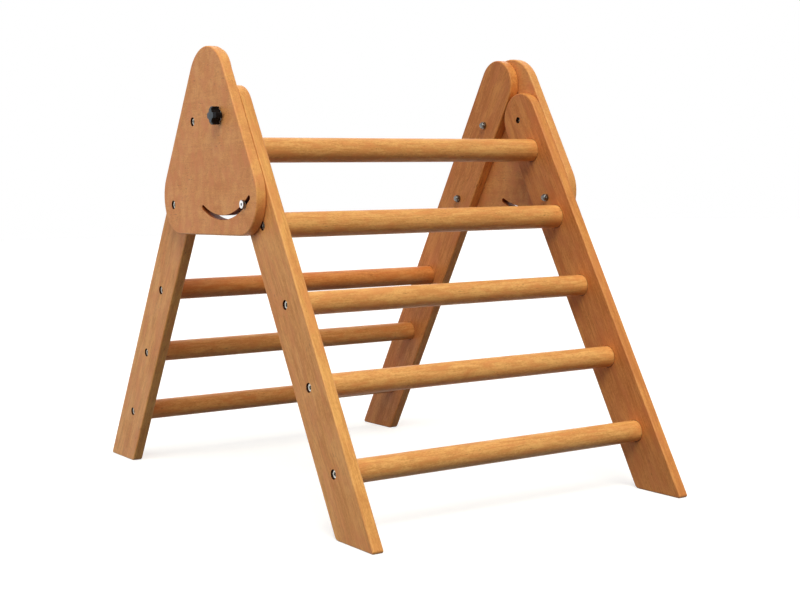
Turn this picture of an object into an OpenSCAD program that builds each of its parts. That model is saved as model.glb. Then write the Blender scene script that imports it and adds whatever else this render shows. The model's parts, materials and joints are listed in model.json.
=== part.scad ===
// Folding climbing triangle: a front ladder of five rungs and a back ladder of three,
// joined at the top by two head plates. The back ladder is bolted to the plates. The
// front ladder swings on the studs of two clamping knobs, and a guide bolt on each side
// runs in a curved slot that is struck from the same pivot.
// X runs along the rungs, -Y is the front and +Z is up. The origin lies on the floor,
// in the middle of the space that the opened frame covers.

/* [Frame] */
// Width across the outer faces of the back legs
frame_w = 492; // [360:1:800]
// Height of the folding pivot above the floor
pivot_h = 515; // [480:0.5:700]
// Lean of the front ladder from the vertical, in degrees
front_lean = 29.5; // [24:0.1:34]
// Lean of the back ladder from the vertical, in degrees
back_lean = 32.7; // [28:0.1:36]

/* [Legs] */
// Width of a leg board
leg_w = 75.5; // [60:0.5:85]
// Thickness of a leg board
leg_t = 15; // [13:0.5:22]
// Distance of the pivot behind the middle of the front leg's width
pivot_inset = 4; // [4:0.5:8]
// Gap between the edges of a front and a back leg when folded
leg_gap = 4; // [3.5:0.5:6]
// Gap between a front leg and the head plate beside it
side_gap = 0.3; // [0.2:0.1:1]
// Rise of the back leg's round top above the pivot, along the leg
back_leg_rise = 17; // [5:1:22]
// Radius of a foot's inner corner
heel_r = 8; // [4:1:16]
// Radius of a foot's outer corner
toe_r = 3; // [3:0.5:8]
// Rounding of the boards' edges
edge_ease = 2; // [0.5:0.5:2.5]

/* [Rungs] */
// Diameter of the two top front rungs
top_rung_d = 33; // [24:0.5:38]
// Diameter of the other rungs
rung_d = 29.5; // [24:0.5:34]
// Distance from the pivot down to the top front rung, along the leg
front_top_rung = 55; // [46:1:80]
// Height of the lowest front rung above the foot, along the leg
front_low_rung = 91; // [60:1:110]
// Distance from the pivot down to the top back rung, along the leg
back_top_rung = 335; // [240:0.5:350]
// Height of the lowest back rung above the foot, along the leg
back_low_rung = 93.5; // [60:0.5:110]
// Depth of the socket that a rung's end sits in
socket_depth = 3; // [1:0.5:4]
// Radial clearance of a rung in its socket
socket_fit = 0.1; // [0.05:0.05:0.3]

/* [Head plates] */
// Thickness of a head plate
plate_t = 14; // [12:0.5:20]
// Depth of a head plate below the pivot
plate_drop = 156.5; // [153:0.5:170]
// Radius of the plate's top
plate_top_r = 58; // [48:1:66]
// Radius of the plate's bottom corners
plate_corner_r = 51; // [40:1:60]
// Reach of the plate past the front leg's outer edge, negative when it stops short
front_lip = 0; // [-5:0.5:6]
// Reach of the plate past the back leg's outer edge, negative when it stops short
back_lip = -3; // [-4:0.5:8]
// Distance of the plate's screws in front of the middle of the back leg's width
screw_inset = 6; // [0:0.5:8]
// Height of the pivot above the upper plate screw
screw_drop = 3.5; // [0:0.5:12]

/* [Folding guide] */
// Distance from the pivot to the guide bolt
guide_r = 133; // [128:1:137]
// Extra opening that the slot allows beyond the standing pose, in degrees
slot_spare = 6.5; // [1:0.5:8]
// Angle between the legs when the slot stops the fold, in degrees
fold_rest = 6.5; // [0:0.5:12]
// Thread diameter of the guide bolt
guide_d = 5; // [5:0.5:6]
// Radial clearance of the guide bolt in its slot
slot_fit = 0.3; // [0.2:0.1:1]

/* [Screws] */
// Thread diameter of the screws
screw_d = 6; // [5:0.5:7]
// Diameter of a screw's head
head_d = 10; // [9:0.5:12]
// Height of a screw's head
head_h = 5; // [3:0.5:5]
// Depth of a head's top below the wood
head_recess = 1.9; // [0.5:0.1:2]
// Radial clearance of a head in its recess
head_fit = 0.7; // [0.3:0.1:1.5]
// Radial clearance of a screw in a wooden hole
hole_fit = 0.2; // [0.1:0.1:0.5]
// Clearance of a screw in a thread that it is turned into
thread_fit = 0.05; // [0.02:0.01:0.1]
// Width across the flats of a screw's hexagon socket
hex_socket = 5; // [3:0.5:5]
// Depth of the hexagon socket
hex_depth = 3; // [1.5:0.5:3]
// Diameter of a threaded insert in a rung
insert_d = 10; // [9:0.5:12]
// Length of a threaded insert in a rung
insert_len = 13; // [12:1:20]
// Length of the insert left free past the screw's end
insert_spare = 1.5; // [0.5:0.5:3]

/* [Cap nuts] */
// Width across the flats of a cap nut
nut_flats = 10; // [10:0.5:13]
// Height of a cap nut's hexagon
nut_hex_h = 4.5; // [3:0.5:6]
// Height of a cap nut's dome
nut_dome_h = 4; // [3:0.5:6]
// Length of screw inside a cap nut
nut_grip = 6; // [3:0.5:6]
// Thread left free past the screw's end in a cap nut
nut_spare = 0.5; // [0.2:0.1:0.8]

/* [Guide bolt] */
// Diameter of the guide bolt's flat head
button_d = 11; // [10:0.5:14]
// Height of the guide bolt's flat head
button_h = 3.4; // [3:0.1:4]
// Diameter of the washer under that head
guide_washer_d = 11; // [10:0.5:18]
// Thickness of the washer under that head
guide_washer_t = 1.2; // [0.8:0.1:2]

/* [Knobs] */
// Diameter of the star knob
knob_d = 24; // [20:0.5:32]
// Height of the star knob
knob_h = 12; // [9:0.5:16]
// Radius of the hollows between the knob's four arms
knob_hollow_r = 5; // [2:0.5:5.5]
// Diameter of the knob's stud, the axle of the fold
stud_d = 8; // [6:0.5:9]
// Length of stud held inside the knob
stud_grip = 7; // [5:0.5:8]
// Running clearance around the stud, on the radius
stud_fit = 0.08; // [0.02:0.01:0.1]
// Diameter of the knob's washer
knob_washer_d = 16; // [14:0.5:20]
// Thickness of the knob's washer
knob_washer_t = 1.6; // [1:0.1:2.5]
// Gap between the knob and its washer
knob_gap = 0.3; // [0.2:0.1:0.5]
// Diameter of the pivot's insert in the front leg
pivot_insert_d = 12; // [12:0.5:16]
// Length of the pivot's insert
pivot_insert_len = 11; // [8:0.5:11]

/* [Hidden] */

front_rungs = 5;
thick_rungs = 2;             // how many front rungs, from the top, have the larger diameter
back_rungs = 3;
left = 0;                    // which side of the frame a piece is on
right = 1;
front = -1;                  // which way a ladder leans
back = 1;
$fn = 96;
hull_fn = 48;                // facets of a rounded board's corners
over = 1;                    // how far a cut runs past a face
chamfer = 0.6;               // broken edges of metal pieces
dome_step = 0.4;             // how far a cap nut's dome stands back from its flats
dome_drum = 0.35;            // share of the dome's height that is a drum under the ball
knob_rim = 1.2;              // softened rim of a knob
knob_bevel = 0.4;            // the rim's inner break

half_leg = leg_w / 2;
screw_r = screw_d / 2;
head_r = head_d / 2;
recess_depth = head_h + head_recess;
dome_r = nut_flats / 2 - dome_step;
dome_foot = dome_drum * nut_dome_h;
dome_rise = nut_dome_h - dome_foot;
dome_ball = (dome_r ^ 2 + dome_rise ^ 2) / (2 * dome_rise);
leg_x = side_gap;            // outer face of a front leg, inward from the head plate
back_offset = leg_w - pivot_inset + leg_gap;   // pivot to the back leg's centreline
front_foot = (pivot_h + pivot_inset * sin(front_lean)) / cos(front_lean);  // along the leg
back_foot = (pivot_h + back_offset * sin(back_lean)) / cos(back_lean);
front_pitch = (front_foot - front_top_rung - front_low_rung) / (front_rungs - 1);
back_pitch = (back_foot - back_top_rung - back_low_rung) / (back_rungs - 1);
front_rung_len = frame_w - 2 * (leg_x + leg_t - socket_depth);
back_rung_len = frame_w - 2 * (leg_t - socket_depth);
guide_bolt_r = guide_d / 2;
slot_r = guide_bolt_r + slot_fit;
slot_start = -front_lean - slot_spare;         // ends of the slot, as angles from straight
slot_end = back_lean - fold_rest;              // down, positive towards the back
guide_washer_x = -plate_t - slot_fit - guide_washer_t;
knob_washer_x = -plate_t - knob_washer_t;
knob_x = knob_washer_x - knob_gap - knob_h;
stud_x = knob_x + knob_h - stud_grip;
stud_len = leg_x + pivot_insert_len - stud_x;

// Places on a side of the frame are [y, z] pairs measured from the pivot. A point of a
// ladder lies at an offset outward from the pivot and a distance down along the leg.
function ladder_point(way, lean, offset, down) =
    [way * (offset * cos(lean) + down * sin(lean)), offset * sin(lean) - down * cos(lean)];

// The point at height z on a line that runs along the leg, at an offset from the pivot.
function line_point(way, lean, offset, z) = [way * (offset - z * sin(lean)) / cos(lean), z];

// The straight-down direction turned by an angle, at a distance from the pivot.
function swing_point(angle, distance) = [distance * sin(angle), -distance * cos(angle)];

function front_point(down) = ladder_point(front, front_lean, pivot_inset, down);
function back_point(down) = ladder_point(back, back_lean, back_offset, down);
function front_rung_at(i) = front_point(front_top_rung + (i - 1) * front_pitch);
function back_rung_at(i) = back_point(back_top_rung + (i - 1) * back_pitch);
function front_rung_r(i) = (i <= thick_rungs ? top_rung_d : rung_d) / 2;

// The corner disc of a foot: it touches the floor and one edge of the leg.
function foot_disc(way, lean, offset, edge, r) =
    let (c = line_point(way, lean, offset + edge * (half_leg - r), r - pivot_h))
    [c.x, c.y, r, 0];

front_toe = foot_disc(front, front_lean, pivot_inset, 1, toe_r);
back_toe = foot_disc(back, back_lean, back_offset, 1, toe_r);
pivot_y = -(front_toe.x + back_toe.x) / 2;     // centres the footprint on the origin
guide_at = swing_point(-front_lean, guide_r);
upper_screw_at = line_point(back, back_lean, back_offset - screw_inset, -screw_drop);
lower_screw_at = line_point(back, back_lean, back_offset - screw_inset, guide_at.y);

// Outlines of the boards, as discs [y, z, radius, turn] that a taut band would wrap.
front_leg_top = front_point(0);
front_leg_discs = [
    [front_leg_top.x, front_leg_top.y, half_leg, -front_lean],
    foot_disc(front, front_lean, pivot_inset, -1, heel_r),
    front_toe];
back_leg_top = back_point(-back_leg_rise);
back_leg_discs = [
    [back_leg_top.x, back_leg_top.y, half_leg, back_lean],
    foot_disc(back, back_lean, back_offset, -1, heel_r),
    back_toe];
front_line = pivot_inset + half_leg + front_lip;
back_line = back_offset + half_leg + back_lip;
plate_top = [
    ((back_line - plate_top_r) * sin(front_lean) - (front_line - plate_top_r) * sin(back_lean))
        / sin(front_lean + back_lean),
    ((front_line - plate_top_r) * cos(back_lean) + (back_line - plate_top_r) * cos(front_lean))
        / sin(front_lean + back_lean)];
plate_front = line_point(front, front_lean, front_line - plate_corner_r,
                         plate_corner_r - plate_drop);
plate_back = line_point(back, back_lean, back_line - plate_corner_r,
                        plate_corner_r - plate_drop);
plate_discs = [
    [plate_top.x, plate_top.y, plate_top_r, 0],
    [plate_front.x, plate_front.y, plate_corner_r, 0],
    [plate_back.x, plate_back.y, plate_corner_r, 0]];

// Puts a piece on its side of the frame: x = 0 is the head plate's inner face, positive
// x points to the middle of the frame, and y and z start at the pivot.
module on_side(side) {
    mirror([side, 0, 0]) translate([-frame_w / 2, pivot_y, pivot_h]) children();
}

// Turns a shape drawn along +Z so that it runs along +X from x, at a [y, z] place.
module along_x(x, place = [0, 0]) {
    translate([x, place.x, place.y]) rotate([90, 0, 90]) children();
}

module rod(x, place, r, length) {
    along_x(x, place) cylinder(r = r, h = length);
}

// A board wrapped around discs, with its edges rounded over on both faces.
module eased_board(x, discs, thickness) {
    along_x(x)
        hull()
            for (d = discs, a = [0, 45, 90]) {
                depth = edge_ease * (1 - sin(a));
                translate([d.x, d.y, depth])
                    rotate(d[3])
                        cylinder(r = d.z - edge_ease * (1 - cos(a)),
                                 h = thickness - 2 * depth, $fn = hull_fn);
            }
}

// The cuts for a sunk screw: a recess from the outer face and a hole right through.
module screw_cut(x, place, reach) {
    rod(x - over, place, head_r + head_fit, recess_depth + over);
    rod(x - over, place, screw_r + hole_fit, reach + 2 * over);
}

// The cuts for one rung of radius r in a leg whose outer face is at x.
module rung_cut(x, place, r) {
    screw_cut(x, place, leg_t);
    rod(x + leg_t - socket_depth, place, r + socket_fit, socket_depth + over);
}

module head_plate(side) {
    color([0.76, 0.53, 0.35])
        on_side(side)
            difference() {
                eased_board(-plate_t, plate_discs, plate_t);
                rod(-plate_t - over, [0, 0], stud_d / 2 + stud_fit, plate_t + 2 * over);
                for (place = [upper_screw_at, lower_screw_at])
                    screw_cut(-plate_t, place, plate_t);
                guide_slot();
            }
}

// The smiling slot that the guide bolt runs in, struck from the pivot.
module guide_slot() {
    along_x(-plate_t - over)
        rotate(slot_start - 90)
            rotate_extrude(angle = slot_end - slot_start)
                translate([guide_r - slot_r, 0])
                    square([2 * slot_r, plate_t + 2 * over]);
    for (angle = [slot_start, slot_end])
        rod(-plate_t - over, swing_point(angle, guide_r), slot_r, plate_t + 2 * over);
}

module back_leg(side) {
    color([0.80, 0.57, 0.37])
        on_side(side)
            difference() {
                eased_board(0, back_leg_discs, leg_t);
                for (i = [1 : back_rungs])
                    rung_cut(0, back_rung_at(i), rung_d / 2);
                for (place = [upper_screw_at, lower_screw_at])
                    rod(-over, place, screw_r + hole_fit, leg_t + 2 * over);
            }
}

module front_leg(side) {
    color([0.82, 0.58, 0.36])
        on_side(side)
            difference() {
                eased_board(leg_x, front_leg_discs, leg_t);
                for (i = [1 : front_rungs])
                    rung_cut(leg_x, front_rung_at(i), front_rung_r(i));
                rod(leg_x - over, guide_at, guide_bolt_r + hole_fit, leg_t + 2 * over);
                rod(leg_x - over, [0, 0], pivot_insert_d / 2 + thread_fit,
                    pivot_insert_len + over);
                rod(leg_x - over, [0, 0], stud_d / 2 + hole_fit, leg_t + 2 * over);
            }
}

// A rung of radius r with a bore for a threaded insert in each end.
module rung(place, length, r) {
    color([0.87, 0.63, 0.39])
        translate([0, pivot_y, pivot_h])
            difference() {
                rod(-length / 2, place, r, length);
                for (end = [-1, 1])
                    translate([end * (length - insert_len) / 2, place.x, place.y])
                        rotate([0, 90, 0])
                            cylinder(r = insert_d / 2 + thread_fit,
                                     h = insert_len + 2 * thread_fit, center = true);
            }
}

// A cylinder-head screw: its head's top is at x, and its thread points inward.
module socket_screw(x, place, length) {
    along_x(x, place)
        difference() {
            rotate_extrude()
                polygon([[0, 0], [head_r - chamfer, 0], [head_r, chamfer], [head_r, head_h],
                         [screw_r, head_h], [screw_r, head_h + length - chamfer],
                         [screw_r - chamfer, head_h + length], [0, head_h + length]]);
            hex_cut(hex_depth);
        }
}

// The hexagon socket in a screw's head.
module hex_cut(depth) {
    translate([0, 0, -over])
        cylinder(r = hex_socket / 2 / cos(30), h = depth + over, $fn = 6);
}

// Screws that hold the rungs, one into each rung's insert.
module rung_screws(side, x, places) {
    color([0.62, 0.63, 0.64])
        on_side(side)
            for (place = places)
                socket_screw(x + head_recess, place,
                             leg_t - recess_depth - socket_depth + insert_len - insert_spare);
}

// Threaded inserts in the rungs' ends, flush with the wood.
module rung_inserts(side, x, places) {
    color([0.72, 0.66, 0.50])
        on_side(side)
            for (place = places)
                difference() {
                    rod(x + leg_t - socket_depth, place, insert_d / 2, insert_len);
                    rod(x + leg_t - socket_depth - over, place, screw_r + thread_fit,
                        insert_len + 2 * over);
                }
}

// The two screws that clamp a back leg to its head plate.
module plate_screws(side) {
    color([0.62, 0.63, 0.64])
        on_side(side)
            for (place = [upper_screw_at, lower_screw_at])
                socket_screw(-plate_t + head_recess, place,
                             plate_t - recess_depth + leg_t + nut_grip);
}

// A cap nut: a chamfered hexagon with a dome over its blind thread.
module cap_nut(x, place, thread_r) {
    corner = nut_flats / 2 / cos(30);
    along_x(x, place)
        difference() {
            union() {
                intersection() {
                    cylinder(r = corner, h = nut_hex_h, $fn = 6);
                    rotate_extrude()
                        polygon([[0, 0], [corner, 0], [corner, nut_hex_h - chamfer],
                                 [nut_flats / 2, nut_hex_h], [0, nut_hex_h]]);
                }
                translate([0, 0, nut_hex_h - over])
                    cylinder(r = dome_r, h = over + dome_foot);
                translate([0, 0, nut_hex_h + dome_foot])
                    intersection() {
                        cylinder(r = dome_r, h = nut_dome_h);
                        translate([0, 0, dome_rise - dome_ball]) sphere(r = dome_ball);
                    }
            }
            translate([0, 0, -over])
                cylinder(r = thread_r + thread_fit, h = nut_grip + nut_spare + over);
        }
}

module plate_cap_nuts(side) {
    color([0.70, 0.71, 0.72])
        on_side(side)
            for (place = [upper_screw_at, lower_screw_at])
                cap_nut(leg_t, place, screw_r);
}

// The guide bolt: a flat head outside the plate and a shank through slot and leg.
module guide_bolt(side) {
    shank = leg_x + leg_t + nut_grip - guide_washer_x;
    button_r = button_d / 2;
    color([0.85, 0.86, 0.87])
        on_side(side)
            along_x(guide_washer_x - button_h, guide_at)
                difference() {
                    rotate_extrude()
                        polygon([[0, 0], [button_r - chamfer, 0], [button_r, chamfer],
                                 [button_r, button_h], [guide_bolt_r, button_h],
                                 [guide_bolt_r, button_h + shank], [0, button_h + shank]]);
                    hex_cut(hex_depth - chamfer);
                }
}

module washer(x, place, outer_d, inner_r, thickness) {
    difference() {
        rod(x, place, outer_d / 2, thickness);
        rod(x - over, place, inner_r, thickness + 2 * over);
    }
}

module guide_washer(side) {
    color([0.70, 0.71, 0.72])
        on_side(side)
            washer(guide_washer_x, guide_at, guide_washer_d, guide_bolt_r + hole_fit,
                   guide_washer_t);
}

module guide_cap_nut(side) {
    color([0.70, 0.71, 0.72]) on_side(side) cap_nut(leg_x + leg_t, guide_at, guide_bolt_r);
}

// The sleeve in the front leg that turns on the knob's stud.
module pivot_insert(side) {
    color([0.72, 0.66, 0.50])
        on_side(side)
            washer(leg_x, [0, 0], pivot_insert_d, stud_d / 2 + stud_fit, pivot_insert_len);
}

module knob_washer(side) {
    color([0.70, 0.71, 0.72])
        on_side(side)
            washer(knob_washer_x, [0, 0], knob_washer_d, stud_d / 2 + hole_fit, knob_washer_t);
}

// A four-armed star knob with a softened rim and a blind bore for its stud.
module knob(side) {
    knob_r = knob_d / 2;
    color([0.07, 0.07, 0.08])
        on_side(side)
            along_x(knob_x)
                difference() {
                    rotate_extrude()
                        polygon([[0, 0], [knob_r - knob_rim, 0],
                                 [knob_r - knob_bevel, knob_bevel], [knob_r, knob_rim],
                                 [knob_r, knob_h - knob_rim], [knob_r - knob_rim, knob_h],
                                 [0, knob_h]]);
                    for (a = [45 : 90 : 315])
                        rotate(a)
                            translate([knob_r, 0, -over])
                                cylinder(r = knob_hollow_r, h = knob_h + 2 * over);
                    translate([0, 0, knob_h - stud_grip])
                        cylinder(r = stud_d / 2 + thread_fit, h = stud_grip + over);
                }
}

module knob_stud(side) {
    color([0.62, 0.63, 0.64])
        on_side(side)
            along_x(stud_x)
                rotate_extrude()
                    polygon([[0, 0], [stud_d / 2, 0], [stud_d / 2, stud_len - chamfer],
                             [stud_d / 2 - chamfer, stud_len], [0, stud_len]]);
}

front_rung_places = [for (i = [1 : front_rungs]) front_rung_at(i)];
back_rung_places = [for (i = [1 : back_rungs]) back_rung_at(i)];

head_plate(left);  // left_head_plate
head_plate(right);  // right_head_plate
back_leg(left);  // left_back_leg
back_leg(right);  // right_back_leg
front_leg(left);  // left_front_leg
front_leg(right);  // right_front_leg
rung(front_rung_at(1), front_rung_len, front_rung_r(1));  // front_rung_1
rung(front_rung_at(2), front_rung_len, front_rung_r(2));  // front_rung_2
rung(front_rung_at(3), front_rung_len, front_rung_r(3));  // front_rung_3
rung(front_rung_at(4), front_rung_len, front_rung_r(4));  // front_rung_4
rung(front_rung_at(5), front_rung_len, front_rung_r(5));  // front_rung_5
rung(back_rung_at(1), back_rung_len, rung_d / 2);  // back_rung_1
rung(back_rung_at(2), back_rung_len, rung_d / 2);  // back_rung_2
rung(back_rung_at(3), back_rung_len, rung_d / 2);  // back_rung_3
rung_screws(left, leg_x, front_rung_places);  // left_front_rung_screws
rung_screws(right, leg_x, front_rung_places);  // right_front_rung_screws
rung_screws(left, 0, back_rung_places);  // left_back_rung_screws
rung_screws(right, 0, back_rung_places);  // right_back_rung_screws
rung_inserts(left, leg_x, front_rung_places);  // left_front_rung_inserts
rung_inserts(right, leg_x, front_rung_places);  // right_front_rung_inserts
rung_inserts(left, 0, back_rung_places);  // left_back_rung_inserts
rung_inserts(right, 0, back_rung_places);  // right_back_rung_inserts
plate_screws(left);  // left_plate_screws
plate_screws(right);  // right_plate_screws
plate_cap_nuts(left);  // left_plate_cap_nuts
plate_cap_nuts(right);  // right_plate_cap_nuts
guide_bolt(left);  // left_guide_bolt
guide_bolt(right);  // right_guide_bolt
guide_washer(left);  // left_guide_washer
guide_washer(right);  // right_guide_washer
guide_cap_nut(left);  // left_guide_cap_nut
guide_cap_nut(right);  // right_guide_cap_nut
pivot_insert(left);  // left_pivot_insert
pivot_insert(right);  // right_pivot_insert
knob(left);  // left_knob
knob(right);  // right_knob
knob_stud(left);  // left_knob_stud
knob_stud(right);  // right_knob_stud
knob_washer(left);  // left_knob_washer
knob_washer(right);  // right_knob_washer
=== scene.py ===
"""Looks of the folding climbing triangle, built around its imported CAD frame.

Everything is in metres in the frame's axes: +X runs along the rungs, -Y is the front and +Z
is up. Most pieces are stacks: a stack is a list of (x, outline) rings, and an outline is a
list of (y, z) points. On a side of the frame, x counts inward from the inner face of that
side's head plate, so both sides are made by the same calls.
"""
import json
import math

import bmesh
import bpy
from mathutils import Matrix, Vector

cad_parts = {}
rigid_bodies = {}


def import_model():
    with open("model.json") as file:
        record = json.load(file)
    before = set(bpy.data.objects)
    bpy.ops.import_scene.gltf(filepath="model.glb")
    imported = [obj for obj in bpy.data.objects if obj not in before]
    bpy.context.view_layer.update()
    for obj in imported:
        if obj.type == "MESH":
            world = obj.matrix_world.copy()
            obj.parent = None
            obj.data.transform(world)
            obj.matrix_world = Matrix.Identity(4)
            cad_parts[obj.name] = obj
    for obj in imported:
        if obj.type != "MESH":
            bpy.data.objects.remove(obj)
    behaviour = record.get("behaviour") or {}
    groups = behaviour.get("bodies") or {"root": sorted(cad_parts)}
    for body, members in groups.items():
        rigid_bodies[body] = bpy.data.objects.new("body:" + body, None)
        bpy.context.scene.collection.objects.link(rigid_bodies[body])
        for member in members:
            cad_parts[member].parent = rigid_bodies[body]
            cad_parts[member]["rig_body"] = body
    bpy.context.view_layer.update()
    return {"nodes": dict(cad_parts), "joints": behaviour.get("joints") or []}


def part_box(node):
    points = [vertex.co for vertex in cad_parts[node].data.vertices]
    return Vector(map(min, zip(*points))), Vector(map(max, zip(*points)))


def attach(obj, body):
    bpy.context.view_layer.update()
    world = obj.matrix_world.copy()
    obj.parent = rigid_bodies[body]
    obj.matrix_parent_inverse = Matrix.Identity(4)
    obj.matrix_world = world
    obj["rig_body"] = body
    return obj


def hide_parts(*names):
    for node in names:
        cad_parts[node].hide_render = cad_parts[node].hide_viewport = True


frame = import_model()

MM = 0.001
SIDES = {"left": -1, "right": 1}
FRONT_RUNGS = 5
BACK_RUNGS = 3

# Sizes of the details that the CAD nodes' boxes don't give.
OVER = 1 * MM                    # how far a cut runs past a face
EDGE_EASE = 2 * MM               # rounding of the boards' edges, as edge_ease in the CAD
RIM_EASE = 0.5 * MM              # rounding of the holes' rims
METAL_EDGE = 0.4 * MM            # broken edges of metal pieces
HEAD_H = 5 * MM                  # height of a screw's head
HEAD_FIT = 0.7 * MM              # clearance of a head in its recess
SCREW_R = 3 * MM                 # thread of a screw
HOLE_R = 3.2 * MM                # screw holes in the wood
THREAD_FIT = 0.05 * MM           # clearance of a thread
HEX_SOCKET = 5 * MM              # width of a screw's hexagon socket
HEX_DEPTH = 3 * MM
HEX_LEAD = 0.3 * MM              # broken edge of the hexagon sockets
GUIDE_SOCKET = 3.5 * MM          # the guide bolt's smaller hexagon socket
SOCKET_DEPTH = 3 * MM            # how deep a rung sits in a leg
SOCKET_FIT = 0.1 * MM            # clearance of a rung in that socket
INSERT_R = 5 * MM                # threaded insert in a rung's end
INSERT_LEN = 13 * MM
SLOT_SPARE = math.radians(6.5)   # how far the slot runs on past the guide bolt
SLOT_HALF = 2.8 * MM             # half the width of the slot
GUIDE_R = 2.5 * MM               # the guide bolt's shank
PIVOT_INSERT_R = 6 * MM          # threaded sleeve in a front leg
STUD_R = 4 * MM                  # a knob's stud
STUD_GRIP = 7 * MM               # how deep the stud sits in its knob
NUT_FLATS = 10 * MM              # width across a cap nut's flats
NUT_HEX_H = 4.5 * MM             # height of its hexagon
NUT_BLIND = 6.5 * MM             # depth of its thread
NUT_CHAMFER = math.radians(30)   # slope of its chamfered corners
DOME_R = 4.6 * MM                # foot of its dome
DOME_FOOT = 1.4 * MM             # straight part under the dome
BUTTON_EASE = 0.6 * MM           # rounding of the guide bolt's head
STUD_HOLE_R = 4.2 * MM           # the stud's hole past its sleeve
KNOB_HOLLOW_R = 5 * MM           # hollows between the knob's arms
KNOB_ARM_EASE = 0.9 * MM         # rounding of the knob's arms
KNOB_RIM = 0.7 * MM              # rounding of the knob's rims
KNOB_CROWN = 0.3 * MM            # rise of the knob's face
KNOB_FACE_R = 9 * MM             # reach of the knob's face, where its arms start to slope
KNOB_SLOPE = 2.6 * MM            # depth of that slope at the arms' ends

# The photograph's camera, from a perspective fit to its edges, in an 800 x 600 picture.
PHOTO_W = 800
FOCAL_PX = 1385.4
CAMERA_AT = Vector((-1.0530, -1.7190, 0.4093))
CAMERA_AZIMUTH = math.radians(-32.81)
CAMERA_ELEVATION = math.radians(4.40)
CAMERA_ROLL = math.radians(-1.09)

# How finely round forms are drawn.
TURN_STEPS = 72                  # a full turn
SLOT_STEPS = 60                  # the slot's long arcs
SLOT_END_STEPS = 12
KNOB_CORNER_STEPS = 6
KNOB_HOLLOW_STEPS = 14
KNOB_ARM_STEPS = 10
CHAMFER_STEPS = 4
DOME_STEPS = 9
EASE_STEPS = 6                   # a quarter turn of a rounded edge
SHARP_ANGLE = math.radians(35)   # edges at least this sharp stay sharp

# Lamps far away: strength, width in degrees, colour and the direction that they shine from.
SUNS = {
    "key": (2.75, 40, (0.98, 1.0, 0.87), (-0.22, -0.57, 0.79)),
    "back_light": (0.7, 60, (1.0, 0.98, 0.95), (0.6, 0.7, 0.35)),
    "side_light": (0.7, 20, (1.0, 0.97, 0.94), (1, 0.1, 0.12))}
FILL_POWER = 6.3
FILL_SIZE = 1.2
FILL_COLOUR = (1.0, 0.93, 0.94)
FILL_AT = (-1.6, 0.1, 0.7)
SKY_COLOUR = (1.0, 0.90, 0.87, 1)
SKY_LOW, SKY_HIGH = 0.1, 0.3     # the sky's strength at the horizon and overhead
FLOOR_HALF = 12.0                # half the width of the floor
FLOOR_COLOUR = (0.55, 0.55, 0.55, 1)
FLOOR_GLOW = 0.62                # lifts the seen floor to white, short of hiding the shadow
FLOOR_BOUNCE = (0.055, 0.065, 0.085, 1)
WHITE = (1, 1, 1, 1)

# Steps of a quarter turn: how far in and how far short of the full size, from 0 to 1.
QUARTER = [(1 - math.cos(t), 1 - math.sin(t))
           for t in (math.pi / 2 * i / EASE_STEPS for i in range(EASE_STEPS + 1))]


# ---------------------------------------------------------------- places in the frame

def place(node):
    """The (y, z) of a node's middle."""
    lo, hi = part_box(node)
    return (lo.y + hi.y) / 2, (lo.z + hi.z) / 2


def joint(name):
    return next(j for j in frame["joints"] if j["name"] == name)


def half_height(node):
    lo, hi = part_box(node)
    return (hi.z - lo.z) / 2


PLATE_X = -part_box("left_head_plate")[1].x
PIVOT = tuple(joint("fold")["pos_m"][1:])
FRONT_NODES = [f"front_rung_{i + 1}" for i in range(FRONT_RUNGS)]
BACK_NODES = [f"back_rung_{i + 1}" for i in range(BACK_RUNGS)]
FRONT_PLACES = [place(node) for node in FRONT_NODES]
BACK_PLACES = [place(node) for node in BACK_NODES]
GUIDE = place("left_guide_bolt")
GUIDE_REACH = math.dist(GUIDE, PIVOT)


def reach(node):
    """Where a node starts and ends, counted inward from the plate's inner face."""
    lo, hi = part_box("left_" + node)
    return lo.x + PLATE_X, hi.x + PLATE_X


def radius(node):
    return half_height("left_" + node)


HEAD_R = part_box("left_front_rung_screws")[1].z - FRONT_PLACES[0][1]


def plate_screw_places():
    lo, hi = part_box("left_plate_screws")
    return [(lo.y + HEAD_R, hi.z - HEAD_R), (hi.y - HEAD_R, lo.z + HEAD_R)]


# ---------------------------------------------------------------- outlines

def on_circle(at, r, angle):
    return at[0] + r * math.cos(angle), at[1] + r * math.sin(angle)


def arc(at, r, start, end, steps):
    """Points on a circle between two angles."""
    return [on_circle(at, r, start + (end - start) * i / steps) for i in range(steps + 1)]


def polar(at, r):
    """An outline round a place. r is a radius, or gives one for an angle."""
    angles = [2 * math.pi * i / TURN_STEPS for i in range(TURN_STEPS)]
    return [on_circle(at, r(a) if callable(r) else r, a) for a in angles]


def hexagon(flats, turn=0.0, limit=math.inf):
    """The radius of a hexagon at an angle, no longer than a limit."""
    side = math.pi / 3
    return lambda a: min(limit, flats / 2 / math.cos((a - turn) % side - side / 2))


def hull(points):
    """The band round a set of points, anticlockwise and without points on straight runs."""
    flat = 1e-9
    points = sorted(set(points))

    def half(run):
        chain = []
        for p in run:
            while len(chain) > 1:
                a, b = Vector(chain[-1]) - Vector(chain[-2]), Vector(p) - Vector(chain[-1])
                if a.x * b.y - a.y * b.x > flat:
                    break
                chain.pop()
            chain.append(p)
        return chain[:-1]

    return half(points) + half(points[::-1])


def board_outline(node):
    """A board's outline, from the node that it stands for."""
    return hull([(v.co.y, v.co.z) for v in frame["nodes"][node].data.vertices])


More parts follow.
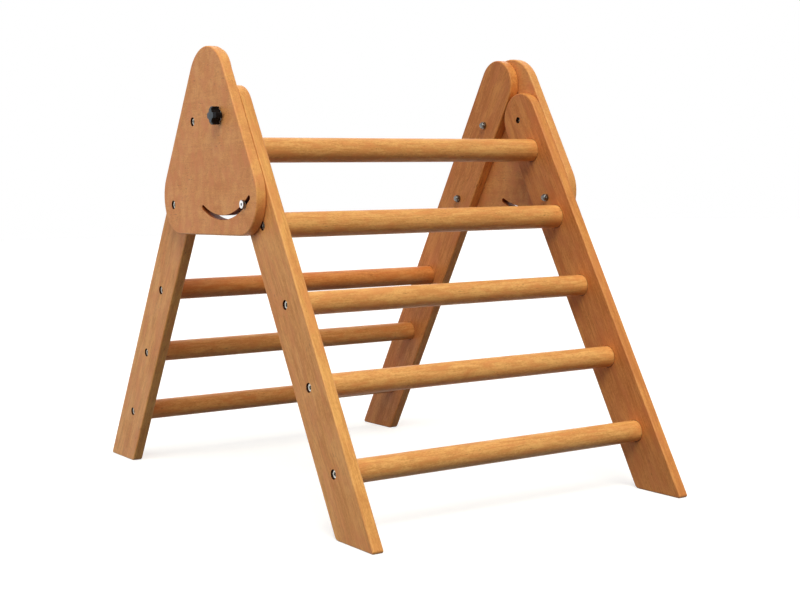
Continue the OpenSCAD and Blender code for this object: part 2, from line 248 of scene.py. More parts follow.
def inset(outline, depth):
    """A convex anticlockwise outline moved inward."""
    moved = []
    for before, at, after in zip(outline[-1:] + outline[:-1], outline, outline[1:] + outline[:1]):
        inward = []
        for a, b in ((before, at), (at, after)):
            run = (Vector(b) - Vector(a)).normalized()
            inward.append(Vector((-run.y, run.x)))
        middle = (inward[0] + inward[1]).normalized()
        moved.append(tuple(Vector(at) + middle * depth / middle.dot(inward[0])))
    return moved


def slot_outline(half):
    """The guide slot: an arc struck from the pivot, with round ends."""
    rest = math.atan2(GUIDE[1] - PIVOT[1], GUIDE[0] - PIVOT[0])
    start = rest - SLOT_SPARE
    end = rest + math.radians(joint("fold")["range_deg"][1])
    start_at, end_at = (on_circle(PIVOT, GUIDE_REACH, a) for a in (start, end))
    return (arc(PIVOT, GUIDE_REACH + half, start, end, SLOT_STEPS)
            + arc(end_at, half, end, end + math.pi, SLOT_END_STEPS)[1:-1]
            + arc(PIVOT, GUIDE_REACH - half, end, start, SLOT_STEPS)
            + arc(start_at, half, start + math.pi, start + 2 * math.pi, SLOT_END_STEPS)[1:-1])


def knob_outline(at, r, shrink):
    """A four-armed star with hollows between its arms and eased corners, made smaller all
    round by shrink."""
    ease, hollow = KNOB_ARM_EASE, KNOB_HOLLOW_R
    corner = r - ease
    arm = math.acos((corner ** 2 + r ** 2 - (hollow + ease) ** 2) / (2 * corner * r))
    meet = math.atan2(corner * math.sin(arm), r - corner * math.cos(arm))
    outline = []
    for k in range(4):
        turn = math.pi / 4 + k * math.pi / 2
        low, high = (on_circle(at, corner, turn + a) for a in (-arm, arm))
        hollow_at = on_circle(at, r, turn)
        outline += arc(low, ease - shrink, turn - arm, turn + meet, KNOB_CORNER_STEPS)
        outline += arc(hollow_at, hollow + shrink, turn + math.pi + meet,
                       turn + math.pi - meet, KNOB_HOLLOW_STEPS)[1:-1]
        outline += arc(high, ease - shrink, turn - meet, turn + arm, KNOB_CORNER_STEPS)
        outline += arc(at, r - shrink, turn + arm, turn + math.pi / 2 - arm,
                       KNOB_ARM_STEPS)[1:-1]
    return outline


# ---------------------------------------------------------------- stacks

def lathe(at, profile):
    """Rings round a place, from (x, radius) pairs."""
    return [(x, polar(at, r)) for x, r in profile]


def flare(x, way, r):
    """The eased rim of a hole of radius r: way is 1 where it enters and -1 where it leaves."""
    rim = [(x + way * RIM_EASE * d, r + RIM_EASE * i) for d, i in QUARTER]
    ring_outside = [(x - way * OVER, r + RIM_EASE)]
    return ring_outside + rim if way > 0 else rim[::-1] + ring_outside


def hole(at, x0, x1, r):
    """A round hole right through, with eased rims."""
    return lathe(at, flare(x0, 1, r) + flare(x1, -1, r))


def sunk_hole(at, x0, seat, x1):
    """A recess for a screw's head, down to its seat, and a hole right through."""
    return lathe(at, flare(x0, 1, HEAD_R + HEAD_FIT)
                 + [(seat, HEAD_R + HEAD_FIT), (seat, HOLE_R), (x1 + OVER, HOLE_R)])


def rung_hole(rung, x0, seat, x1):
    """A sunk hole that opens into the socket for a rung."""
    floor, socket_r = x1 - SOCKET_DEPTH, half_height(rung) + SOCKET_FIT
    return lathe(place(rung), flare(x0, 1, HEAD_R + HEAD_FIT)
                 + [(seat, HEAD_R + HEAD_FIT), (seat, HOLE_R),
                    (floor, HOLE_R), (floor, socket_r)]
                 + flare(x1, -1, socket_r))


def slot_cut(x0, x1):
    """The guide slot right through a plate, with eased rims."""
    rims = flare(x0, 1, SLOT_HALF) + flare(x1, -1, SLOT_HALF)
    return [(x, slot_outline(half)) for x, half in rims]


def board_stack(outline, x0, x1):
    """A board with its edges rounded over."""
    near = [(x0 + EDGE_EASE * d, inset(outline, EDGE_EASE * i)) for d, i in QUARTER]
    far = [(x1 - EDGE_EASE * d, inset(outline, EDGE_EASE * i)) for d, i in QUARTER]
    return near + far[::-1]


def rung_stack(node):
    """A rung with a bore for an insert in each end."""
    half_length, r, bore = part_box(node)[1].x, half_height(node), INSERT_R + THREAD_FIT
    end = [(half_length - INSERT_LEN - THREAD_FIT, bore), (half_length, bore),
           (half_length, r - METAL_EDGE), (half_length - METAL_EDGE, r)]
    return lathe(place(node), [(-x, r) for x, r in end] + end[::-1])


def socket_screw(at, top, tip, turn):
    """A cylinder-head screw with a hexagon socket, from its head's top to its tip."""
    hexagonal = polar(at, hexagon(HEX_SOCKET, turn))
    seat = top + HEAD_H
    socket = [(top + HEX_DEPTH, hexagonal), (top + HEX_LEAD, hexagonal)]
    return socket + lathe(at, [(top, HEX_SOCKET / 2 + 2 * HEX_LEAD)]
                          + [(top + METAL_EDGE * d, HEAD_R - METAL_EDGE * i) for d, i in QUARTER]
                          + [(seat, HEAD_R), (seat, SCREW_R), (tip - METAL_EDGE, SCREW_R),
                             (tip, SCREW_R - METAL_EDGE)])


def cap_nut(at, base, top, thread_r, turn):
    """A hexagon with chamfered corners and a dome over its blind thread."""
    flat, corner = NUT_FLATS / 2, NUT_FLATS / math.sqrt(3)
    rise = (corner - flat) * math.tan(NUT_CHAMFER)
    steps = [i / CHAMFER_STEPS for i in range(CHAMFER_STEPS + 1)]
    hex_top = base + NUT_HEX_H
    low = [(base + rise * t, flat + (corner - flat) * t) for t in steps]
    high = [(hex_top - rise * t, flat + (corner - flat) * t) for t in steps[::-1]]
    sides = [(x, polar(at, hexagon(NUT_FLATS, turn, limit))) for x, limit in low + high]
    drum = hex_top + DOME_FOOT
    dome_h = top - drum
    ball = (DOME_R ** 2 + dome_h ** 2) / (2 * dome_h)
    spread = math.asin(DOME_R / ball)
    dome = [(top - ball + ball * math.cos(a), ball * math.sin(a))
            for a in (spread * (1 - i / DOME_STEPS) for i in range(DOME_STEPS))]
    bore = thread_r + THREAD_FIT
    return (lathe(at, [(base + NUT_BLIND, bore), (base, bore)]) + sides
            + lathe(at, [(hex_top, DOME_R)] + dome))


def button_bolt(at, top, seat, tip):
    """A flat head with a hexagon socket, on a long shank."""
    head_r = radius("guide_bolt")
    hexagonal = polar(at, hexagon(GUIDE_SOCKET))
    socket = [(seat - METAL_EDGE, hexagonal), (top + HEX_LEAD, hexagonal)]
    rim = [(top + BUTTON_EASE * d, head_r - BUTTON_EASE * i) for d, i in QUARTER]
    return socket + lathe(at, [(top, GUIDE_SOCKET / 2 + 2 * HEX_LEAD)] + rim
                          + [(seat, head_r), (seat, GUIDE_R), (tip - METAL_EDGE, GUIDE_R),
                             (tip, GUIDE_R - METAL_EDGE)])


def washer_stacks(at, x0, x1, outer, inner):
    """A flat disc with eased rims, and the cut for the hole in its middle."""
    edge = (x1 - x0) / 4
    rim = [(x0 + edge * d, outer - edge * i) for d, i in QUARTER]
    rim += [(x0 + x1 - x, r) for x, r in rim[::-1]]
    return lathe(at, rim), lathe(at, [(x0 - OVER, inner), (x1 + OVER, inner)])


def knob_stack(at, x0, x1, r):
    """The star knob: its arms slope away from a crowned face, and it has rounded rims and a
    blind bore for the stud."""
    def clipped(shrink, limit):
        """The star with its arms cut off at a limit."""
        spokes = [Vector(p) - Vector(at) for p in knob_outline(at, r, shrink)]
        return [tuple(Vector(at) + v * min(1, limit / v.length)) for v in spokes]

    def ring(ring_r):
        """A circle with a point for each point of the star."""
        return [tuple(Vector(at) + (Vector(p) - Vector(at)).normalized() * ring_r)
                for p in knob_outline(at, r, 0)]

    face_edge = clipped(KNOB_RIM, KNOB_FACE_R)
    crown = [(x0 + KNOB_CROWN * share ** 2,
              [tuple(Vector(at).lerp(Vector(p), share)) for p in face_edge])
             for share in (0.1, 0.3, 0.5, 0.7, 0.9)]
    face, slope_r = x0 + KNOB_CROWN, KNOB_FACE_R + KNOB_RIM
    rim = [(face + KNOB_RIM * d, clipped(KNOB_RIM * i, KNOB_FACE_R + KNOB_RIM * d))
           for d, i in QUARTER]
    slope = [(face + KNOB_RIM + (KNOB_SLOPE - KNOB_RIM) * share,
              clipped(0, slope_r + (r - slope_r) * share)) for share in (0.5, 1)]
    far = [(x1 - KNOB_RIM * d, knob_outline(at, r, KNOB_RIM * i)) for d, i in QUARTER]
    return (crown + rim + slope + far[::-1]
            + [(x1, ring(STUD_R)), (x1 - STUD_GRIP, ring(STUD_R))])


# ---------------------------------------------------------------- pieces

def mesh_of(name, stacks):
    """One object from closed stacks, given in the frame's own x."""
    bm = bmesh.new()
    for stack in stacks:
        rings = [[bm.verts.new((x, y, z)) for y, z in outline] for x, outline in stack]
        for a, b in zip(rings, rings[1:]):
            for i in range(len(a)):
                bm.faces.new((a[i - 1], a[i], b[i], b[i - 1]))
        bm.faces.new(rings[0])
        bm.faces.new(rings[-1])
    bmesh.ops.recalc_face_normals(bm, faces=bm.faces)
    mesh = bpy.data.meshes.new(name)
    bm.to_mesh(mesh)
    bm.free()
    piece = bpy.data.objects.new(name, mesh)
    bpy.context.scene.collection.objects.link(piece)
    return piece


def bake_modifiers(piece):
    """The piece keeps the shape that its modifiers give it."""
    bpy.context.view_layer.update()
    shaped = piece.evaluated_get(bpy.context.evaluated_depsgraph_get())
    mesh = bpy.data.meshes.new_from_object(shaped)
    piece.modifiers.clear()
    piece.data = mesh


def cut(piece, stacks, lining):
    """Takes stacks out of a piece. The new walls get a lining material."""
    cutter = mesh_of("cutter", stacks)
    cutter.data.materials.append(lining)
    holes = piece.modifiers.new("holes", "BOOLEAN")
    holes.material_mode = "TRANSFER"
    holes.object = cutter
    holes.operation = "DIFFERENCE"
    holes.solver = "EXACT"
    bake_modifiers(piece)
    bpy.data.objects.remove(cutter)


def soften(piece):
    """Smooth shading across rounded edges, with the large faces kept flat."""
    piece.data.shade_smooth()
    piece.data.set_sharp_from_angle(angle=SHARP_ANGLE)
    flat_faces = piece.modifiers.new("flat_faces", "WEIGHTED_NORMAL")
    flat_faces.keep_sharp = True
    flat_faces.weight = 100
    bake_modifiers(piece)


def finish_node(node, stacks, cuts, material):
    """Makes the finished piece that stands for a CAD node, on the same body. Each cut is a
    pair: the lining of its walls and its stacks."""
    piece = mesh_of(node + "_finish", stacks)
    piece.data.materials.append(material)
    for lining, cutters in cuts:
        cut(piece, cutters, lining)
    soften(piece)
    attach(piece, frame["nodes"][node]["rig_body"])
    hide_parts(node)


def finish_pair(node, stacks, cuts, material):
    """Makes a piece on both sides, from stacks whose x counts inward from the plate. The
    material is the same on both, or one for each node."""
    for side, way in SIDES.items():
        def placed(stacks):
            return [[(way * (PLATE_X - x), outline) for x, outline in stack] for stack in stacks]

        name = f"{side}_{node}"
        finish_node(name, placed(stacks), [(lining, placed(cutters)) for lining, cutters in cuts],
                    material[name] if isinstance(material, dict) else material)


# ---------------------------------------------------------------- materials

def add(tree, kind, inputs=None, **settings):
    """A shader node with its settings and inputs, where an input is a value or a socket."""
    made = tree.nodes.new("ShaderNode" + kind)
    for name, value in settings.items():
        setattr(made, name, value)
    for name, value in (inputs or {}).items():
        if isinstance(value, bpy.types.NodeSocket):
            tree.links.new(value, made.inputs[name])
        else:
            made.inputs[name].default_value = value
    return made


def new_material(name, **surface):
    """A material with a Principled shader, and the values that are the same all over it."""
    material = bpy.data.materials.new(name)
    material.use_nodes = True
    shader = material.node_tree.nodes["Principled BSDF"]
    for socket, value in surface.items():
        shader.inputs[socket.replace("_", " ")].default_value = value
    return material, material.node_tree, shader


def stretched(tree, vector, scale):
    return add(tree, "VectorMath", {0: vector, 1: scale}, operation="MULTIPLY").outputs[0]


def noise(tree, vector, detail=4.0, roughness=0.55, distortion=0.0):
    return add(tree, "TexNoise", {"Vector": vector, "Scale": 1.0, "Detail": detail,
                                  "Roughness": roughness, "Distortion": distortion}).outputs["Fac"]


def ramp(tree, value, low, high, to_low=0.0, to_high=1.0):
    """A smooth step from one value to another."""
    return add(tree, "MapRange", {"Value": value, "From Min": low, "From Max": high,
                                  "To Min": to_low, "To Max": to_high},
               interpolation_type="SMOOTHSTEP").outputs["Result"]


def calculate(tree, operation, a, b):
    return add(tree, "Math", {0: a, 1: b}, operation=operation).outputs[0]


def blend(tree, factor, a, b, how="MIX"):
    mixed = add(tree, "Mix", data_type="RGBA", blend_type=how)
    for socket, value in ((mixed.inputs[0], factor), (mixed.inputs[6], a), (mixed.inputs[7], b)):
        if isinstance(value, bpy.types.NodeSocket):
            tree.links.new(value, socket)
        else:
            socket.default_value = value
    return mixed.outputs[2]


def edge_wear_and_highlight(tree, width):
    """1 on edges that are rounder than their surroundings, and 0 on flat faces: wear on metal and
    plastic, and a painted highlight on wood.
    """
    face = add(tree, "NewGeometry").outputs["Normal"]
    rounded = add(tree, "Bevel", {"Radius": width}, samples=4).outputs["Normal"]
    alike = add(tree, "VectorMath", {0: face, 1: rounded}, operation="DOT_PRODUCT")
    return ramp(tree, alike.outputs["Value"], 1.0, 0.9)


def rgb(red, green, blue):
    """A linear colour from the 0-255 values that a screen shows."""
    def linear(v):
        v /= 255
        return v / 12.92 if v <= 0.04045 else ((v + 0.055) / 1.055) ** 2.4
    return linear(red), linear(green), linear(blue), 1.0


def grain_space(tree, along):
    """Coordinates that ride with the piece, with x along the grain and z across the board."""
    across = Vector((1, 0, 0)) if abs(along.x) < 0.5 else Vector((0, 0, 1))
    side = across.cross(along).normalized()
    turn = Matrix((along, side, along.cross(side))).to_euler()
    coords = add(tree, "TexCoord").outputs["Object"]
    return add(tree, "Mapping", {"Vector": coords, "Rotation": turn}).outputs["Vector"]


def painted_crevice_shade(tree, reach_out):
    """1 in corners, slots and contacts, and 0 in the open: where painted shade darkens the wood.
    """
    open_sky = add(tree, "AmbientOcclusion", {"Distance": reach_out}, samples=6).outputs["AO"]
    return ramp(tree, open_sky, 0.6, 0.15)


def flat_on(tree):
    """1 on faces square to the rungs' direction, and 0 on the sides round them."""
    normal = add(tree, "NewGeometry").outputs["Normal"]
    along_x = add(tree, "SeparateXYZ", {0: normal}).outputs["X"]
    return ramp(tree, calculate(tree, "ABSOLUTE", along_x, 0.0), 0.8, 0.97)


def wood(name, along, light, dark, blush, fleck, figure, contrast=0.5, stripes=0.5, gloss=0.28,
         edge_light_tint=WHITE, crevice_shade=0.3):
    """Varnished wood: growth bands, fine streaks, a soft figure with redder patches, and
    short dark flecks in loose clusters, with painted highlights on its rounded edges and painted
    shade in its corners and slots. stripes is the share of bands and streaks, and the edge tint
    is painted light: a yellower tint on a board's edges, like the warm key's light."""
    material, tree, shader = new_material(name, Specular_IOR_Level=gloss)
    space = grain_space(tree, along)

    bands = noise(tree, stretched(tree, space, (4, 75, 75)), 4, 0.6, 0.8)
    streaks = noise(tree, stretched(tree, space, (30, 380, 380)), 6, 0.7, 0.5)
    cloud = noise(tree, stretched(tree, space, figure), 7, 0.68, 0.8)
    warmth = noise(tree, stretched(tree, space, tuple(1.6 * f for f in figure)), 5, 0.6, 0.4)
    fibre = noise(tree, stretched(tree, space, (90, 2400, 2400)), 3, 0.6)
    speckle = noise(tree, stretched(tree, space, (260, 620, 620)), 4, 0.7)

    def share(field, weight):
        return calculate(tree, "MULTIPLY", field, weight)

    lines = calculate(tree, "ADD", share(bands, 0.4 * stripes), share(streaks, 0.6 * stripes))
    blots = calculate(tree, "ADD", share(cloud, 0.5 * (1 - stripes)),
                      share(speckle, 0.5 * (1 - stripes)))
    shade = calculate(tree, "ADD", lines, blots)
    half_step = 0.075 / contrast
    tone = blend(tree, ramp(tree, shade, 0.5 - half_step, 0.5 + half_step), light, dark)
    tone = blend(tree, ramp(tree, warmth, 0.42, 0.68, 0.0, 0.7), tone, blush)

    dashes = noise(tree, stretched(tree, space, (110, 520, 520)), 3, 0.55)
    clusters = ramp(tree, noise(tree, stretched(tree, space, (16, 36, 36)), 3, 0.6), 0.46, 0.62)
    pores = calculate(tree, "MULTIPLY", ramp(tree, dashes, 0.6, 0.72), clusters)
    tone = blend(tree, share(pores, 0.55), tone, fleck)

    edges = edge_wear_and_highlight(tree, 1.5 * MM)
    # painted highlight: the rounded edges are lightened towards the light tone
    tone = blend(tree, share(edges, 0.2), tone, light)
    # painted shade: corners, slots, recesses and contacts are darkened towards the fleck colour
    tone = blend(tree, share(painted_crevice_shade(tree, 9 * MM), crevice_shade), tone, fleck)
    # painted light: all faces but those square to the rungs, the boards' edges, take the yellower
    # tint
    tone = blend(tree, 1.0, tone, blend(tree, flat_on(tree), edge_light_tint, WHITE), "MULTIPLY")
    tree.links.new(tone, shader.inputs["Base Color"])

    rough = calculate(tree, "ADD", ramp(tree, cloud, 0.3, 0.7, 0.40, 0.50),
                      ramp(tree, fibre, 0.3, 0.7, 0.0, 0.10))
    tree.links.new(calculate(tree, "SUBTRACT", rough, share(edges, 0.06)),
                   shader.inputs["Roughness"])
    height = calculate(tree, "SUBTRACT", calculate(tree, "ADD", fibre, streaks), pores)
    bump = add(tree, "Bump", {"Height": height, "Strength": 0.2, "Distance": 0.1 * MM})
    tree.links.new(bump.outputs["Normal"], shader.inputs["Normal"])
    return material


def metal(name, colour, dull, roughness=(0.2, 0.35), grooves=0.1, rubbed=0.4, sides=None):
    """Machined metal: a brushed surface with dull patches and rubbed edges. Faces round the
    rungs' direction, the sides of heads and sockets, can be painted darker as painted shade."""
    material, tree, shader = new_material(name, Metallic=1.0)
    coords = add(tree, "TexCoord").outputs["Object"]
    brushed = noise(tree, stretched(tree, coords, (900, 900, 900)), 4, 0.6)
    patches = noise(tree, stretched(tree, coords, (160, 160, 160)), 3, 0.5)
    tone = blend(tree, ramp(tree, patches, 0.35, 0.7, 0.0, 0.8), colour, dull)
    if sides:
        # painted shade on the sides of heads and sockets
        tone = blend(tree, flat_on(tree), sides, tone)
    tone = blend(tree, calculate(tree, "MULTIPLY", edge_wear_and_highlight(tree, 0.4 * MM), rubbed), tone,
                 (0.95, 0.95, 0.95, 1.0))
    tree.links.new(tone, shader.inputs["Base Color"])
    worn = calculate(tree, "ADD", calculate(tree, "MULTIPLY", brushed, 0.6),
                     calculate(tree, "MULTIPLY", patches, 0.4))
    tree.links.new(ramp(tree, worn, 0.3, 0.7, *roughness), shader.inputs["Roughness"])
    bump = add(tree, "Bump", {"Height": brushed, "Strength": grooves, "Distance": 0.05 * MM})
    tree.links.new(bump.outputs["Normal"], shader.inputs["Normal"])
    return material


def moulded_plastic(name, colour, worn, face):
    """Black moulded plastic with glossy sides, a rougher face painted paler and bluer as painted
    sheen, and rubbed arms.
    """
    material, tree, shader = new_material(name, Specular_IOR_Level=0.14)
    coords = add(tree, "TexCoord").outputs["Object"]
    pebbles = noise(tree, stretched(tree, coords, (2600, 2600, 2600)), 2, 0.5)
    smears = noise(tree, stretched(tree, coords, (220, 220, 220)), 3, 0.55)
    edges = edge_wear_and_highlight(tree, 0.8 * MM)
    rough_face_and_sheen = flat_on(tree)
    # painted sheen: the face is coloured paler and bluer than the black sides
    tone = blend(tree, rough_face_and_sheen, colour, face)
    tone = blend(tree, calculate(tree, "MULTIPLY", edges, 0.35), tone, worn)
    tone = blend(tree, ramp(tree, smears, 0.5, 0.8, 0.0, 0.25), tone, worn)
    tree.links.new(tone, shader.inputs["Base Color"])
    gloss = calculate(tree, "ADD", ramp(tree, smears, 0.3, 0.7, 0.22, 0.32),
                      calculate(tree, "MULTIPLY", rough_face_and_sheen, 0.2))
    tree.links.new(gloss, shader.inputs["Roughness"])
    bump = add(tree, "Bump", {"Height": pebbles, "Strength": 0.15, "Distance": 0.05 * MM})
    tree.links.new(bump.outputs["Normal"], shader.inputs["Normal"])
    return material


def lean(places):
    """The downward direction of a ladder, from its rungs' places."""
    run = Vector(places[-1]) - Vector(places[0])
    return Vector((0, *run.normalized()))


# Painted shade: the right side's boards and the top back rung get darker tones than the rest.
FRONT_GRAIN, BACK_GRAIN = lean(FRONT_PLACES), lean(BACK_PLACES)
ACROSS, LEVEL = Vector((1, 0, 0)), Vector((0, 1, 0))
# Fineness of the figure along the grain, side to side and through the thickness.
LEG_FIGURE = (14, 42, 42)
RUNG_FIGURE = (24, 80, 80)
PLATE_FIGURE = (44, 28, 44)
EDGE_LIGHT_TINT = (1.0, 1.02, 0.94, 1)   # painted light: a yellower tint on the boards' edges, like the warm key's light on them
left_leg_tones = dict(light=rgb(238, 174, 102), dark=rgb(208, 138, 76), blush=rgb(224, 144, 86),
                      fleck=rgb(120, 64, 32), figure=LEG_FIGURE, contrast=1.0, stripes=0.55,
                      edge_light_tint=EDGE_LIGHT_TINT, crevice_shade=0.15)
# painted shade: the right side's legs, on the far side of the frame, get darker tones
shaded_right_leg_tones = dict(light=rgb(230, 156, 86), dark=rgb(198, 120, 62), blush=rgb(210, 126, 72),
                       fleck=rgb(106, 54, 26), figure=LEG_FIGURE, contrast=1.0, stripes=0.5,
                       edge_light_tint=EDGE_LIGHT_TINT, crevice_shade=0.3)
leg_woods = {
    "left_front_leg": wood("left_front_leg_wood", FRONT_GRAIN, **left_leg_tones),
    "left_back_leg": wood("left_back_leg_wood", BACK_GRAIN, **left_leg_tones),
    "right_front_leg": wood("right_front_leg_wood", FRONT_GRAIN, **shaded_right_leg_tones),
    "right_back_leg": wood("right_back_leg_wood", BACK_GRAIN, **shaded_right_leg_tones)}
plate_wood = wood("plate_wood", LEVEL, light=rgb(237, 170, 102), dark=rgb(212, 138, 80),
                  blush=rgb(224, 142, 88), fleck=rgb(132, 76, 42), figure=PLATE_FIGURE,
                  contrast=0.85, stripes=0.3, edge_light_tint=EDGE_LIGHT_TINT, crevice_shade=0.15)
front_rung_wood = wood("front_rung_wood", ACROSS, light=rgb(238, 178, 106),
                       dark=rgb(210, 142, 78), blush=rgb(220, 142, 80),
                       fleck=rgb(140, 78, 38), figure=RUNG_FIGURE, contrast=1.1)
# The lower back rungs keep lighter tones: painted light against the top rung's shadow on them.
back_rung_wood = wood("back_rung_wood", ACROSS, light=rgb(238, 170, 98), dark=rgb(214, 138, 72),
                      blush=rgb(222, 134, 70), fleck=rgb(132, 70, 34), figure=RUNG_FIGURE,
                      contrast=1.1)
# painted shade: a darker copy of the back rung wood for the top back rung
shaded_rung_wood = wood("shaded_rung_wood", ACROSS, light=rgb(216, 142, 76), dark=rgb(192, 114, 54),
                      blush=rgb(200, 112, 52), fleck=rgb(116, 60, 28), figure=RUNG_FIGURE,
                      contrast=1.1)
rung_woods = {node: front_rung_wood for node in FRONT_NODES}
rung_woods |= {node: back_rung_wood for node in BACK_NODES}
rung_woods[BACK_NODES[0]] = shaded_rung_wood
# Linings of cut walls, as painted shade: the slot's walls darker and duller, the recesses and
# holes near black.
shaded_bored_wood = wood("shaded_bored_wood", ACROSS, light=rgb(172, 92, 46), dark=rgb(138, 66, 32),
                  blush=rgb(152, 72, 34), fleck=rgb(60, 26, 14), figure=LEG_FIGURE, gloss=0.05,
                  crevice_shade=0.6)
shaded_recess_wood = wood("shaded_recess_wood", ACROSS, light=rgb(70, 38, 24), dark=rgb(44, 24, 16),
                   blush=rgb(58, 28, 16), fleck=rgb(24, 14, 10), figure=LEG_FIGURE, gloss=0.02,
                   crevice_shade=0.6)
# The screws and the guide bolt get painted shade on their sides and sockets.
screw_steel = metal("screw_steel", (0.80, 0.80, 0.74, 1), (0.52, 0.52, 0.47, 1),
                    roughness=(0.25, 0.42), sides=(0.30, 0.30, 0.29, 1))
nut_steel = metal("nut_steel", (0.22, 0.22, 0.21, 1), (0.08, 0.08, 0.08, 1),
                  roughness=(0.07, 0.16), rubbed=0.05)
bright_steel = metal("bright_steel", (0.90, 0.90, 0.90, 1), (0.80, 0.80, 0.80, 1),
                     roughness=(0.12, 0.26), grooves=0.05, rubbed=0.2,
                     sides=(0.22, 0.22, 0.23, 1))
insert_brass = metal("insert_brass", (0.72, 0.52, 0.24, 1), (0.50, 0.34, 0.15, 1),
                     roughness=(0.25, 0.45))
# The knob's face colour is painted sheen, paler and bluer than the black sides.
knob_plastic = moulded_plastic("knob_plastic", (0.004, 0.004, 0.005, 1), (0.03, 0.03, 0.032, 1),
                               face=(0.085, 0.105, 0.125, 1))


# ---------------------------------------------------------------- the frame's pieces

def make_boards():
    # Recesses and holes get the near-black lining and the slot the darker one: painted shade on
    # the cut walls.
    outer, inner = reach("head_plate")
    plate_seat = reach("plate_screws")[0] + HEAD_H
    holes = [sunk_hole(at, outer, plate_seat, inner) for at in plate_screw_places()]
    holes.append(lathe(PIVOT, [(outer - OVER, STUD_R), (inner + OVER, STUD_R)]))
    finish_pair("head_plate", [board_stack(board_outline("left_head_plate"), outer, inner)],
                [(shaded_recess_wood, holes), (shaded_bored_wood, [slot_cut(outer, inner)])], plate_wood)

    outer, inner = reach("back_leg")
    seat = reach("back_rung_screws")[0] + HEAD_H
    holes = [rung_hole(rung, outer, seat, inner) for rung in BACK_NODES]
    holes += [hole(at, outer, inner, HOLE_R) for at in plate_screw_places()]
    finish_pair("back_leg", [board_stack(board_outline("left_back_leg"), outer, inner)],
                [(shaded_recess_wood, holes)], leg_woods)

    outer, inner = reach("front_leg")
    seat = reach("front_rung_screws")[0] + HEAD_H
    sleeve_end = reach("pivot_insert")[1]
    holes = [rung_hole(rung, outer, seat, inner) for rung in FRONT_NODES]
    holes += [hole(GUIDE, outer, inner, GUIDE_R),
              lathe(PIVOT, [(outer - OVER, PIVOT_INSERT_R), (sleeve_end, PIVOT_INSERT_R),
                            (sleeve_end, STUD_HOLE_R)] + flare(inner, -1, STUD_HOLE_R))]
    finish_pair("front_leg", [board_stack(board_outline("left_front_leg"), outer, inner)],
                [(shaded_recess_wood, holes)], leg_woods)


def make_rungs():
    for node, material in rung_woods.items():
        finish_node(node, [rung_stack(node)], [], material)


def make_fasteners():
    """Each screw and nut of a row is turned on from the one before."""
    screw_turn, nut_turn, guide_turn = (math.radians(t) for t in (25, 20, 5))
    for node, places in (("front_rung_screws", FRONT_PLACES), ("back_rung_screws", BACK_PLACES),
                         ("plate_screws", plate_screw_places())):
        top, tip = reach(node)
        finish_pair(node, [socket_screw(at, top, tip, i * screw_turn)
                           for i, at in enumerate(places)], [], screw_steel)
    base, top = reach("plate_cap_nuts")
    finish_pair("plate_cap_nuts", [cap_nut(at, base, top, SCREW_R, i * nut_turn)
                                   for i, at in enumerate(plate_screw_places())], [], nut_steel)
    base, top = reach("guide_cap_nut")
    finish_pair("guide_cap_nut", [cap_nut(GUIDE, base, top, GUIDE_R, guide_turn)], [], nut_steel)
    washer_x = reach("guide_washer")
    bolt = reach("guide_bolt")
    finish_pair("guide_bolt", [button_bolt(GUIDE, bolt[0], washer_x[0], bolt[1])], [],
                bright_steel)
    ring, middle = washer_stacks(GUIDE, *washer_x, radius("guide_washer"), GUIDE_R)
    finish_pair("guide_washer", [ring], [(nut_steel, [middle])], nut_steel)


def make_knobs():
    ring, middle = washer_stacks(PIVOT, *reach("knob_washer"), radius("knob_washer"), STUD_R)
    finish_pair("knob_washer", [ring], [(nut_steel, [middle])], nut_steel)
    finish_pair("knob", [knob_stack(PIVOT, *reach("knob"), radius("knob"))], [], knob_plastic)


def dress_hidden_nodes():
    """Inserts and studs keep their CAD solids and get their metals."""
    metals = {"front_rung_inserts": insert_brass, "back_rung_inserts": insert_brass,
              "pivot_insert": insert_brass, "knob_stud": screw_steel}
    for side in SIDES:
        for node, material in metals.items():
            for material_slot in frame["nodes"][f"{side}_{node}"].material_slots:
                material_slot.material = material


# ---------------------------------------------------------------- stage, light and camera

def seen_directly(tree):
    """1 for rays from the camera and through gloss or glass, and 0 for light that bounces."""
    path = add(tree, "LightPath").outputs
    either = calculate(tree, "MAXIMUM", path["Is Camera Ray"], path["Is Glossy Ray"])
    return calculate(tree, "MAXIMUM", either, path["Is Transmission Ray"])


def make_floor():
    """A wide white floor that shows a soft shadow and throws little light back up."""
    bm = bmesh.new()
    bm.faces.new([bm.verts.new((FLOOR_HALF * x, FLOOR_HALF * y, 0))
                  for x, y in ((-1, -1), (1, -1), (1, 1), (-1, 1))])
    mesh = bpy.data.meshes.new("floor")
    bm.to_mesh(mesh)
    bm.free()
    floor = bpy.data.objects.new("floor", mesh)
    bpy.context.scene.collection.objects.link(floor)

    material, tree, shader = new_material(
        "floor_white", Roughness=1.0, Specular_IOR_Level=0.0, Base_Color=FLOOR_COLOUR,
        Emission_Color=WHITE, Emission_Strength=FLOOR_GLOW)
    quiet = add(tree, "BsdfDiffuse", {"Color": FLOOR_BOUNCE})
    shown = add(tree, "MixShader", {0: seen_directly(tree), 1: quiet.outputs[0],
                                    2: shader.outputs[0]})
    tree.links.new(shown.outputs[0], tree.nodes["Material Output"].inputs["Surface"])
    mesh.materials.append(material)


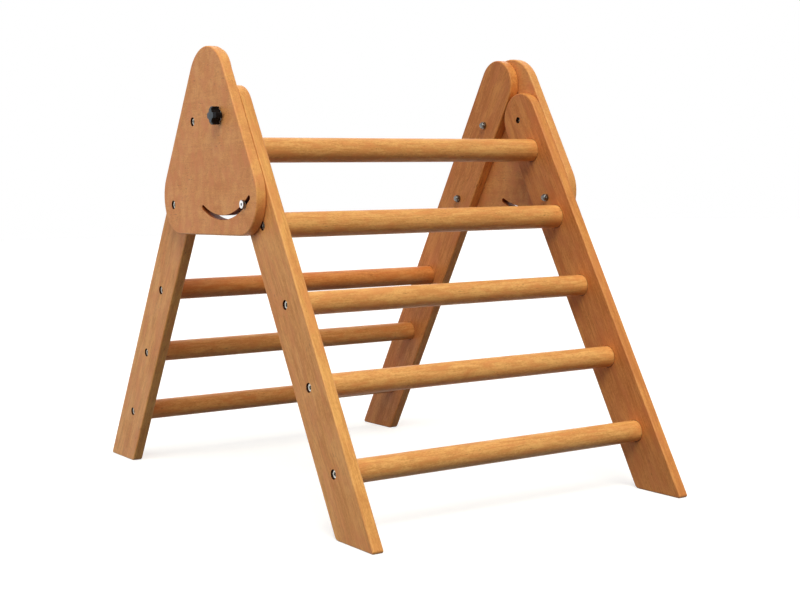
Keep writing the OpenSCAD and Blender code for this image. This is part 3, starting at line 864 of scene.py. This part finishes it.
def make_world():
    """White where it is seen, and a dim even sky for the light that it gives."""
    world = bpy.data.worlds.new("studio")
    world.use_nodes = True
    bpy.context.scene.world = world
    tree = world.node_tree
    tree.nodes.clear()
    upward = add(tree, "SeparateXYZ", {0: add(tree, "TexCoord").outputs["Generated"]}).outputs["Z"]
    sky = add(tree, "Background", {
        "Color": SKY_COLOUR, "Strength": ramp(tree, upward, 0.0, 0.8, SKY_LOW, SKY_HIGH)})
    white = add(tree, "Background", {"Color": WHITE, "Strength": 1.0})
    shown = add(tree, "MixShader", {0: seen_directly(tree), 1: sky.outputs[0],
                                    2: white.outputs[0]})
    out = add(tree, "OutputWorld")
    tree.links.new(shown.outputs[0], out.inputs["Surface"])


def make_lamps():
    """A broad key from the front and above, a soft fill from the left, and weak lamps behind
    and at the right."""
    def place_lamp(name, lamp, towards):
        placed = bpy.data.objects.new(name, lamp)
        placed.rotation_euler = Vector(towards).to_track_quat("Z", "Y").to_euler()
        placed.location = towards
        bpy.context.scene.collection.objects.link(placed)

    for name, (strength, spread, colour, towards) in SUNS.items():
        lamp = bpy.data.lights.new(name, "SUN")
        lamp.energy = strength
        lamp.angle = math.radians(spread)
        lamp.color = colour
        place_lamp(name, lamp, towards)
    fill = bpy.data.lights.new("fill", "AREA")
    fill.energy = FILL_POWER
    fill.size = FILL_SIZE
    fill.color = FILL_COLOUR
    place_lamp("fill", fill, FILL_AT)


def make_camera():
    """The photograph's camera."""
    lens = bpy.data.cameras.new("camera")
    lens.sensor_width = 36.0
    lens.lens = FOCAL_PX * lens.sensor_width / PHOTO_W
    camera = bpy.data.objects.new("camera", lens)
    azimuth, elevation = CAMERA_AZIMUTH, CAMERA_ELEVATION
    back = Vector((math.sin(azimuth) * math.cos(elevation),
                   -math.cos(azimuth) * math.cos(elevation), math.sin(elevation)))
    right = Vector((math.cos(azimuth), math.sin(azimuth), 0))
    roll = Matrix.Rotation(CAMERA_ROLL, 3, back)
    axes = Matrix((roll @ right, roll @ back.cross(right), back)).transposed()
    camera.matrix_world = Matrix.Translation(CAMERA_AT) @ axes.to_4x4()
    bpy.context.scene.collection.objects.link(camera)
    bpy.context.scene.camera = camera


make_camera()
make_boards()
make_rungs()
make_fasteners()
make_knobs()
dress_hidden_nodes()
make_floor()
make_world()
make_lamps()
bpy.context.scene.view_settings.view_transform = "Standard"
